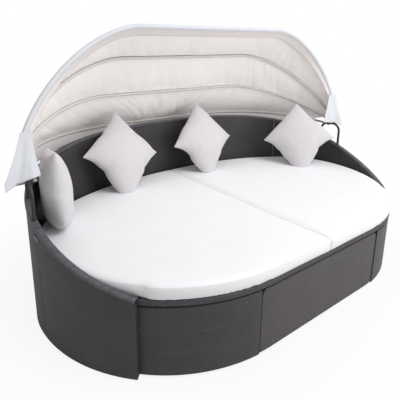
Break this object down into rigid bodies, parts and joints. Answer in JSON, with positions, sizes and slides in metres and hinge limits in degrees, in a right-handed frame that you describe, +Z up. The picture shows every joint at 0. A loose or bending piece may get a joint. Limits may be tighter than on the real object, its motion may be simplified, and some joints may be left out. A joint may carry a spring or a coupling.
{
  "type": "outdoor daybed with canopy",
  "caption": "Oval woven-rattan outdoor daybed with a wrap-round back, loose mattresses and pillows, a pull-out stool nested in its front and a folding hooped canopy.",
  "frame": {"origin": "on the ground, under the middle of the overall box, with the canopy open", "axes": "+X along the bed, +Y to the back, +Z up"},
  "size_m": [2.4004, 1.4664, 1.357],
  "materials": {
    "rattan": "woven synthetic rattan",
    "rattan_rim": "synthetic rattan wound over the edge",
    "rattan_stool": "woven synthetic rattan, a little browner",
    "slat": "stained slats",
    "steel": "black powder coat",
    "hoop_tube": "satin tube inside the cloth sleeves",
    "stainless": "satin",
    "plastic": "moulded",
    "mattress_cloth": "smooth outdoor cloth",
    "pillow_cloth": "fine linen-look cloth",
    "canopy_cloth": "plain-weave cloth"
  },
  "bodies": {
    "daybed": {"alcove_panel_left": "rattan", "alcove_panel_right": "rattan", "alcove_rear": "rattan", "back_centre": "rattan", "back_centre_rail": "rattan_rim", "back_left": "rattan", "back_left_rail": "rattan_rim", "back_right": "rattan", "back_right_rail": "rattan_rim", "bracket_left": "steel", "bracket_right": "steel", "centre_beam": "steel", "clip_back_left": "stainless", "clip_back_right": "stainless", "clip_side_left": "stainless", "clip_side_right": "stainless", "deck_left": "slat", "deck_right": "slat", "hoop_rear": "hoop_tube", "pivot_nut_left": "steel", "pivot_nut_right": "steel", "leg_front_left": "steel", "leg_front_right": "steel", "leg_rear_left": "steel", "leg_rear_right": "steel", "leg_side_left": "steel", "leg_side_right": "steel", "mattress_left": "mattress_cloth", "mattress_right": "mattress_cloth", "pillow_left_back": "pillow_cloth", "pillow_left_end": "pillow_cloth", "pillow_right_back": "pillow_cloth", "pillow_right_end": "pillow_cloth", "pivot_bolt_left": "steel", "pivot_bolt_right": "steel", "seat_rim": "rattan_rim", "skirt_left": "rattan", "skirt_right": "rattan", "wing_left": "rattan", "wing_left_rail": "rattan_rim", "wing_right": "rattan", "wing_right_rail": "rattan_rim"},
    "stool": {"stool_front": "rattan_stool", "stool_rear": "rattan_stool", "stool_side_left": "rattan_stool", "stool_side_right": "rattan_stool", "stool_skid_left": "plastic", "stool_skid_right": "plastic", "stool_top": "slat"},
    "third_hoop": {"hoop_third": "hoop_tube", "cloth_rear": "canopy_cloth"},
    "second_hoop": {"hoop_second": "hoop_tube", "cloth_middle": "canopy_cloth"},
    "front_hoop": {"hoop_front": "hoop_tube", "cloth_front": "canopy_cloth", "front_hem": "canopy_cloth", "flap_left": "canopy_cloth", "flap_right": "canopy_cloth"}
  },
  "joints": [
    {"name": "canopy_fold", "type": "hinge", "parent": "daybed", "child": "third_hoop", "pos_m": [0, 0.05483, 0.70002], "axis": [-1, 0, 0], "range_deg": [0, 20], "deforming": ["cloth_rear"]},
    {"name": "second_hoop_fold", "type": "hinge", "parent": "third_hoop", "child": "second_hoop", "pos_m": [0, 0.05483, 0.70002], "axis": [-1, 0, 0], "range_deg": [0, 24], "deforming": ["cloth_middle"]},
    {"name": "front_hoop_fold", "type": "hinge", "parent": "second_hoop", "child": "front_hoop", "pos_m": [0, 0.05483, 0.70002], "axis": [-1, 0, 0], "range_deg": [0, 23], "deforming": ["cloth_front", "flap_left", "flap_right"]},
    {"name": "stool_slide", "type": "slide", "parent": "daybed", "child": "stool", "axis": [0, -1, 0], "range_m": [0, 0.6]}
  ],
  "couplings": [
    {"joint": "second_hoop_fold", "follows": "canopy_fold", "ratio": 1.2},
    {"joint": "front_hoop_fold", "follows": "canopy_fold", "ratio": 1.15}
  ]
}
